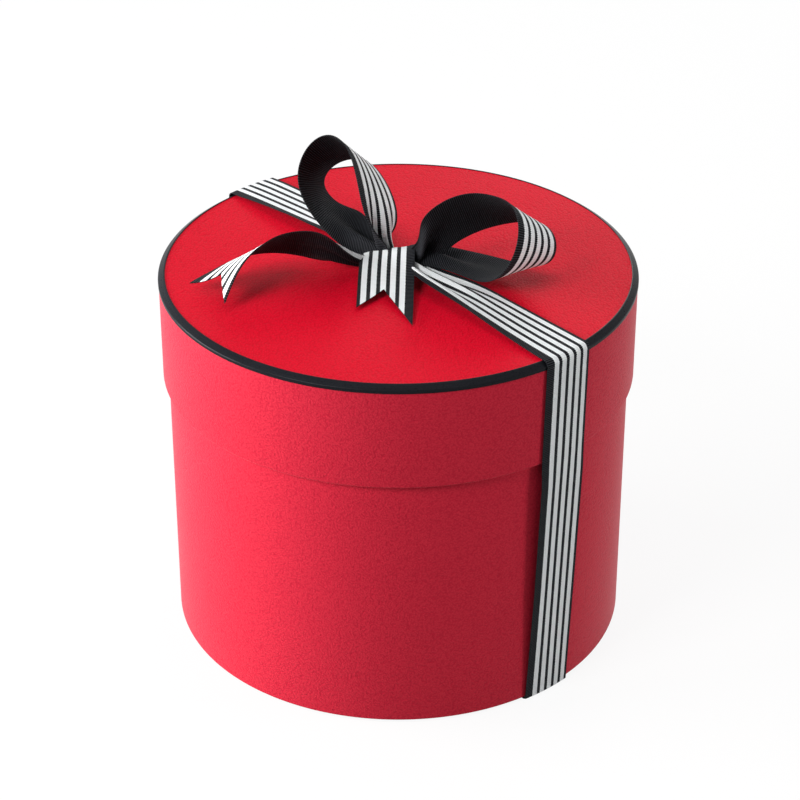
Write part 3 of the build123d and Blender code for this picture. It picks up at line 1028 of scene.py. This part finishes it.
# Strips of the bow. Each row is one place along the strip, in shares of the ribbon's width:
# the strip's middle (x, y, height over the lid), the way its width points, and the width kept.
LOOP_LEFT_SHARES = (
    (-0.30, 0.12, 0.20, 0.30, 0.92, 0.16, 0.34),
    (-0.64, 0.46, 0.36, 0.24, 0.90, 0.36, 0.76),
    (-0.98, 0.80, 0.40, 0.32, 0.94, 0.10, 1.00),
    (-1.34, 1.05, 0.56, 0.34, 0.93, -0.10, 1.00),
    (-1.58, 1.20, 0.88, 0.42, 0.85, -0.32, 1.00),
    (-1.62, 1.35, 1.19, 0.46, 0.72, -0.52, 1.00),
    (-1.41, 1.51, 1.51, 0.41, 0.56, -0.72, 1.00),
    (-1.05, 1.50, 1.69, 0.40, 0.52, -0.75, 1.00),
    (-0.72, 1.24, 1.66, 0.44, 0.62, -0.66, 1.00),
    (-0.50, 0.80, 1.44, 0.57, 0.57, -0.59, 1.00),
    (-0.36, 0.36, 1.16, 0.69, 0.49, -0.54, 1.00),
    (-0.31, 0.08, 0.85, 0.67, 0.56, -0.49, 0.98),
    (-0.30, 0.06, 0.58, 0.55, 0.66, -0.50, 0.76),
    (-0.25, 0.10, 0.36, 0.42, 0.77, -0.47, 0.44),
    (-0.20, 0.12, 0.16, 0.42, 0.77, -0.47, 0.36),
)
LOOP_RIGHT_SHARES = (
    (0.26, -0.10, 0.16, 0.20, 0.70, -0.68, 0.34),
    (0.42, -0.20, 0.34, 0.20, 0.62, -0.76, 0.42),
    (0.49, -0.34, 0.58, 0.28, 0.46, -0.84, 0.78),
    (0.62, -0.40, 0.81, 0.35, 0.35, -0.87, 1.00),
    (0.91, -0.30, 1.05, 0.31, 0.25, -0.92, 1.00),
    (1.41, -0.16, 1.20, 0.26, 0.35, -0.90, 1.00),
    (1.95, -0.25, 1.26, 0.36, 0.56, -0.74, 1.00),
    (2.30, -0.50, 1.30, 0.60, 0.51, -0.61, 1.00),
    (2.46, -0.88, 1.15, 0.68, 0.52, -0.53, 1.00),
    (2.42, -1.10, 0.78, 0.74, 0.58, -0.36, 1.00),
    (2.20, -1.08, 0.44, 0.77, 0.62, -0.14, 1.00),
    (1.87, -0.80, 0.24, 0.67, 0.74, 0.00, 1.00),
    (1.48, -0.46, 0.20, 0.50, 0.86, -0.06, 1.00),
    (1.07, -0.23, 0.22, 0.34, 0.90, -0.19, 0.95),
    (0.68, -0.12, 0.26, 0.24, 0.94, -0.22, 0.74),
    (0.36, -0.08, 0.25, 0.18, 0.95, -0.20, 0.42),
    (0.12, -0.08, 0.18, 0.18, 0.95, -0.20, 0.36),
)
TAIL_LEFT_SHARES = (
    (-0.46, -0.02, 0.06, -0.14, 0.80, -0.58, 0.34),
    (-0.84, -0.24, 0.24, -0.14, 0.74, -0.66, 0.60),
    (-1.20, -0.45, 0.53, -0.13, 0.55, -0.82, 0.98),
    (-1.55, -0.40, 0.64, -0.12, 0.54, -0.83, 1.00),
    (-1.95, -0.42, 0.68, -0.12, 0.65, -0.75, 1.00),
    (-2.30, -0.50, 0.68, -0.28, 0.69, -0.67, 1.00),
    (-2.60, -0.68, 0.65, -0.50, 0.62, -0.60, 1.00),
    (-2.85, -0.88, 0.58, -0.53, 0.65, -0.55, 1.00),
    (-3.07, -1.10, 0.46, -0.57, 0.70, -0.42, 1.00),
    (-3.24, -1.26, 0.30, -0.62, 0.76, -0.20, 1.00),
    (-3.36, -1.32, 0.14, -0.67, 0.75, 0.00, 1.00),
)
TAIL_FRONT_SHARES = (
    (-0.17, 0.16, 0.05, 0.98, 0.12, 0.06, 0.94),
    (-0.18, 0.19, 0.17, 0.98, 0.12, 0.09, 0.97),
    (-0.19, 0.06, 0.31, 0.98, 0.12, 0.12, 1.00),
    (-0.19, -0.14, 0.36, 0.98, 0.12, 0.13, 1.00),
    (-0.20, -0.36, 0.34, 0.98, 0.10, 0.12, 1.00),
    (-0.21, -0.60, 0.27, 0.99, 0.05, 0.08, 1.00),
    (-0.22, -0.92, 0.17, 0.99, 0.00, 0.03, 1.00),
    (-0.23, -1.38, 0.08, 0.99, -0.06, -0.01, 1.00),
    (-0.25, -2.20, 0.03, 0.97, -0.12, -0.02, 1.00),
)
KNOT_SHARES = (
    (-0.17, -0.40, 0.09, 0.99, 0.07, 0.03, 0.86),
    (-0.17, -0.14, 0.05, 0.99, 0.07, 0.03, 0.86),
    (-0.17, 0.10, 0.07, 0.99, 0.07, 0.05, 0.88),
    (-0.17, 0.14, 0.18, 0.99, 0.07, 0.08, 0.90),
    (-0.17, 0.02, 0.27, 0.99, 0.07, 0.10, 0.90),
    (-0.17, -0.18, 0.31, 0.99, 0.07, 0.12, 0.90),
    (-0.17, -0.40, 0.30, 0.99, 0.07, 0.11, 0.90),
    (-0.17, -0.50, 0.20, 0.99, 0.07, 0.06, 0.88),
    (-0.17, -0.44, 0.10, 0.99, 0.07, 0.03, 0.86),
)

# The halves of the band on the lid, which rise from the rim to the knot. Each row: distance from
# the middle of the ribbon line, shift across it, rise above its lowest level, how far the near edge
# is lifted over the far one, the width kept, and how far the near margin turns up in radians.
BAND_RIGHT_SHARES = (
    (0.18, -0.12, 0.18, 0.22, 0.32, 1.30),
    (0.80, -0.17, 0.16, 0.24, 0.58, 1.20),
    (1.25, -0.09, 0.13, 0.21, 0.84, 0.90),
    (1.80, -0.03, 0.10, 0.17, 1.00, 0.65),
    (2.40, -0.03, 0.07, 0.12, 1.00, 0.50),
    (3.20, -0.05, 0.03, 0.05, 1.00, 0.35),
    (3.90, -0.06, 0.01, 0.01, 1.00, 0.10),
)
BAND_LEFT_SHARES = (
    (-0.34, -0.10, 0.16, 0.10, 0.36, 1.40),
    (-1.00, -0.10, 0.17, 0.10, 0.66, 1.30),
    (-1.45, -0.04, 0.15, 0.08, 0.90, 1.10),
    (-2.00, 0.00, 0.13, 0.06, 1.00, 0.85),
    (-2.60, 0.00, 0.11, 0.04, 1.00, 0.65),
    (-3.40, 0.00, 0.07, 0.02, 1.00, 0.45),
    (-3.90, 0.00, 0.04, 0.00, 1.00, 0.15),
)


@dataclass
class Ribbon:
    """The tied ribbon: the harness round the box and the bow on the lid.

    Attributes:
        cloth: materials of the striped face and the plain back.
        width: the ribbon's width.
        clearance: gap between ribbon and paper.
        heading: the way of the ribbon's right half over the lid, in degrees from +X.
        offset: how far its line lies from the axis.
        rim_drift: how far the right run has moved across that line by the rim.
        foot_drift: how far both side runs have moved across it by the foot.
        rim_bend: radius of the fold over the rim.
        lip_bend: radius of the bend below the lid's lip.
        foot_bend: radius of the fold under the base.
        foot_hug: level from which the side runs draw in to the round foot.
        layer_gap: gap between layers of ribbon and paper at the foot.
    """

    cloth: Sequence[Material]
    width: float = 25.4 * MM
    clearance: float = 0.3 * MM
    heading: float = -48.0
    offset: float = 1.7 * MM
    rim_drift: float = 1.7 * MM
    foot_drift: float = 5.8 * MM
    rim_bend: float = 2.4 * MM
    lip_bend: float = 12 * MM
    foot_bend: float = 0.6 * MM
    foot_hug: float = 60 * MM
    layer_gap: float = 0.05 * MM

    def build(self) -> None:
        """Builds every run of the ribbon."""
        turn = math.radians(self.heading)
        self.along = Vector((math.cos(turn), math.sin(turn), 0))
        self.across = Vector((-math.sin(turn), math.cos(turn), 0))
        self.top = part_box("lid_edge_binding")[1].z
        self.lid_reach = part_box("lid_edge_binding")[1].x
        self.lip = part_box("lid_rim_wrap")[0].z
        self.body_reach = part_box("body_wrap")[1].x
        self._harness(Side.RIGHT, BAND_RIGHT_SHARES, ("ribbon_band_right", "ribbon_drop_right"))
        self._harness(Side.LEFT, BAND_LEFT_SHARES, ("ribbon_band_left", "ribbon_drop_left"))
        self._underside()
        self._bow()

    def _strip(
        self, name: str, node: str, shares: Sequence[Row], facing: Facing, margin: Margin, **settings: Value
    ) -> None:
        """Builds one strip of the bow.

        Args:
            name: the strip's name.
            node: the frame node that it stands for.
            shares: its table.
            facing: which way its striped face looks.
            margin: at which end of its width the broad margin lies.
            **settings: other fields of the strip.
        """
        rows = eased(shares)
        middles = [Vector(row[:3]) * self.width + Vector((0, 0, self.top)) for row in rows]
        ways = [Vector(row[3:6]) for row in rows]
        floor = self.top + self.clearance
        strip = Strip(name, [node], middles, ways, rows[:, 6], facing, margin, floor=floor, **settings)
        strip.build(self.cloth)

    def _bow(self) -> None:
        """The two loops, the two tails and the turn of the knot."""
        self._strip("loop_left", "bow_loop_left", LOOP_LEFT_SHARES, Facing.WITH, Margin.START, waves=1.5)
        self._strip("loop_right", "bow_loop_right", LOOP_RIGHT_SHARES, Facing.WITH, Margin.START, waves=1.5)
        self._strip("tail_left", "bow_tail_left", TAIL_LEFT_SHARES, Facing.AGAINST, Margin.END,
                    cut_shares=(0.0, 0.43, 0.0))
        self._strip("tail_front", "bow_tail_front", TAIL_FRONT_SHARES, Facing.WITH, Margin.END,
                    cut_shares=(0.46, 1.05, 0.0), notch_share=0.47)
        self._strip("knot", "ribbon_knot", KNOT_SHARES, Facing.WITH, Margin.END, waves=4.5)

    def _profile(self, side: Side, start: float, start_level: float) -> list[tuple[float, float]]:
        """Draws half of the harness in its upright plane, from the lid over the rim to the foot.

        Args:
            side: which half.
            start: distance of its first point from the middle.
            start_level: height of that point.

        Returns:
            Points of distance along the ribbon's line and height.
        """
        thick = Strip.thick
        reach = self.lid_reach + self.clearance + thick / 2
        foot = self.body_reach + 2 * self.layer_gap + 1.5 * thick
        level = self.top + self.clearance + thick / 2
        foot_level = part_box("ribbon_underside")[0].z + self.foot_bend
        corners = [(start, start_level), (reach, level), (reach, self.lip), (foot, foot_level)]
        rounded = fillet(corners, [0, self.rim_bend, self.lip_bend, 0], BEND_STEPS)
        return [(side.value * x, z) for x, z in rounded]

    def _hug(self, points: Array) -> Array:
        """Draws the ribbon's edges in to the round rim and foot, which a flat run would stand off.

        Args:
            points: points of a run.

        Returns:
            The points, moved along the ribbon's line.
        """
        sideways = points @ np.array(self.across)
        outward = np.sign(points @ np.array(self.along))
        gap = self.lid_reach - np.sqrt(self.lid_reach**2 - sideways**2)
        levels = (0.0, self.foot_hug, self.lip - self.lip_bend, self.lip)
        share = np.interp(points[..., 2], levels, (1.0, 0.0, 0.0, 1.0))
        return points - np.array(self.along) * (outward * gap * share)[..., None]

    def _harness(self, side: Side, shares: Sequence[Row], nodes: Sequence[str]) -> None:
        """Builds one half of the ribbon's line: over the lid, down the rim and to the foot.

        Args:
            side: which half.
            shares: the table of its part on the lid.
            nodes: the frame nodes that it stands for.
        """
        rows = eased(shares)
        level = self.top + self.clearance + Strip.thick / 2
        points = [(row[0] * self.width, row[1] * self.width, level + row[2] * self.width) for row in rows]
        past = self._profile(side, abs(points[-1][0]), points[-1][2])
        rim_drift = self.rim_drift if side is Side.RIGHT else 0.0
        fall = (rim_drift - self.foot_drift) / (level - past[-1][1])
        points += [(x, -rim_drift + fall * max(level - z, 0.0), z) for x, z in past[1:]]
        middle = self.across * self.offset
        middles = [middle + self.along * x + self.across * shift + Vector((0, 0, z)) for x, shift, z in points]
        beyond = len(past) - 1
        ways = [self.across - Vector((0, 0, row[3])) for row in rows] + [self.across] * beyond
        kept = [*rows[:, 4], *[1.0] * beyond]
        curl = [*rows[:, 5], *[0.0] * beyond]
        facing = Facing.WITH if side is Side.RIGHT else Facing.AGAINST
        strip = Strip(f"harness_{side.name.lower()}", nodes, middles, ways, kept, facing, Margin.START,
                      held="stretched", hug=self._hug, curl=curl)
        strip.build(self.cloth)

    def _underside(self) -> None:
        """The run under the base, turned up at both feet."""
        low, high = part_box("ribbon_underside")
        thick = Strip.thick
        foot = self.body_reach + self.layer_gap + thick / 2
        corners = [(-foot, high.z), (-foot, low.z + thick / 2), (foot, low.z + thick / 2), (foot, high.z)]
        rounded = fillet(corners, [0, self.foot_bend, self.foot_bend, 0], BEND_STEPS)
        middle = self.across * (self.offset - self.foot_drift)
        middles = [middle + self.along * x + Vector((0, 0, z)) for x, z in rounded]
        count = len(middles)
        strip = Strip("underside", ["ribbon_underside"], middles, [self.across] * count, [1.0] * count,
                      Facing.AGAINST, Margin.START, body=Body.RIBBON_UNDER, held="stretched", hug=self._hug)
        strip.build(self.cloth)


@dataclass(frozen=True)
class Lamp:
    """A soft rectangular lamp.

    Attributes:
        name: its name.
        place: where it stands.
        size: its width and height.
        power: its power in watts.
    """

    name: str
    place: Place
    size: tuple[float, float]
    power: float

    def build(self, target: Vector) -> None:
        """Adds the lamp to the scene.

        Args:
            target: the point that it looks at.
        """
        data = bpy.data.lights.new(self.name, "AREA")
        data.shape = "RECTANGLE"
        data.size, data.size_y = self.size
        data.energy = self.power
        lamp = placed(self.name, data)
        lamp.location = self.place
        lamp.rotation_euler = (target - Vector(self.place)).to_track_quat("-Z", "Y").to_euler()


LAMPS = (
    Lamp("left_softbox", (-1.64, 0.05, 0.36), (1.2, 0.8), 58.0),
    Lamp("front_left_panel", (-0.90, -0.90, 1.12), (0.6, 0.6), 17.4),
    Lamp("right_lamp", (1.36, -0.22, 0.32), (0.35, 0.5), 7.4),
    Lamp("top_softbox", (0.05, 0.30, 1.75), (1.0, 1.0), 6.8),
    Lamp("back_panel", (0.35, 1.25, 0.85), (0.5, 0.4), 4.0),
)


@dataclass
class Studio:
    """Camera, lamps, surround and floor.

    Attributes:
        pitch: how far the camera looks down, in radians.
        lens, sensor: focal length and sensor width in millimetres.
        sight: how far the camera sees.
        target: the point that the lamps look at.
        surround: strength of the light from all round.
        floor_half: half the floor's width.
        floor_lit, floor_seen: the floor's colour for the light it throws back and for the camera.
        floor_glow: share of plain white in what the camera sees of it.
    """

    camera_place: Place = (0.00075, -1.0351, 0.7268)
    pitch: float = 0.5388
    lens: float = 114.81
    sensor: float = 36.0
    sight: float = 50.0
    target: Place = (0.0, 0.0, 0.12)
    surround: float = 0.12
    floor_half: float = 6.0
    floor_lit: Colour = (0.3, 0.3, 0.3, 1.0)
    floor_seen: Colour = (0.9, 0.9, 0.9, 1.0)
    floor_glow: float = 0.9
    floor_roughness: float = 0.8

    def build(self) -> None:
        """Builds the whole studio."""
        self._camera()
        self._world()
        self._floor()
        for lamp in LAMPS:
            lamp.build(Vector(self.target))

    def _camera(self) -> None:
        """The camera at the photograph's viewing angle."""
        data = bpy.data.cameras.new("camera")
        data.lens = self.lens
        data.sensor_width = self.sensor
        data.sensor_fit = "HORIZONTAL"
        data.clip_end = self.sight
        camera = placed("camera", data)
        camera.location = self.camera_place
        camera.rotation_euler = (math.pi / 2 - self.pitch, 0, 0)
        bpy.context.scene.camera = camera
        bpy.context.scene.view_settings.view_transform = "Standard"

    def _world(self) -> None:
        """A surround that is white to see and lights the box softly."""
        world = bpy.data.worlds.new("studio")
        bpy.context.scene.world = world
        graph = Graph(world)
        lit, plain = (
            graph.node("ShaderNodeBackground", {0: WHITE, 1: strength}).outputs[0]
            for strength in (self.surround, 1.0)
        )
        mixed = graph.node("ShaderNodeMixShader", {0: graph.seen(), 1: lit, 2: plain})
        graph.node("ShaderNodeOutputWorld", {0: mixed.outputs[0]})

    def _floor(self) -> None:
        """A white floor that runs out of sight and keeps a soft shadow."""
        half = self.floor_half
        mesh = bpy.data.meshes.new("floor")
        corners = [(-half, -half, 0), (half, -half, 0), (half, half, 0), (-half, half, 0)]
        mesh.from_pydata(corners, [], [(0, 1, 2, 3)])
        floor = placed("floor", mesh)
        graph = Finish("white floor")
        seen = graph.seen()
        paper = graph.mix(seen, self.floor_lit, self.floor_seen)
        graph.set(graph.shader, {"Base Color": paper, "Roughness": self.floor_roughness})
        glow = graph.node("ShaderNodeEmission", {"Color": WHITE, "Strength": 1.0})
        share = graph.math("MULTIPLY", seen, self.floor_glow)
        layers = {0: share, 1: graph.shader.outputs[0], 2: glow.outputs[0]}
        graph.set(graph.output, {"Surface": graph.node("ShaderNodeMixShader", layers).outputs[0]})
        mesh.materials.append(graph.material)


def main() -> None:
    """Builds the studio, the box and the ribbon in order."""
    logging.basicConfig(level=logging.INFO, format="%(message)s")
    Studio().build()
    Papers(finishes(), cover_finish()).build()
    face = Grosgrain("striped ribbon face", striped=True)
    back = Grosgrain("black ribbon back", striped=False)
    Ribbon([face.material(), back.material()]).build()


if __name__ == "__main__":
    main()
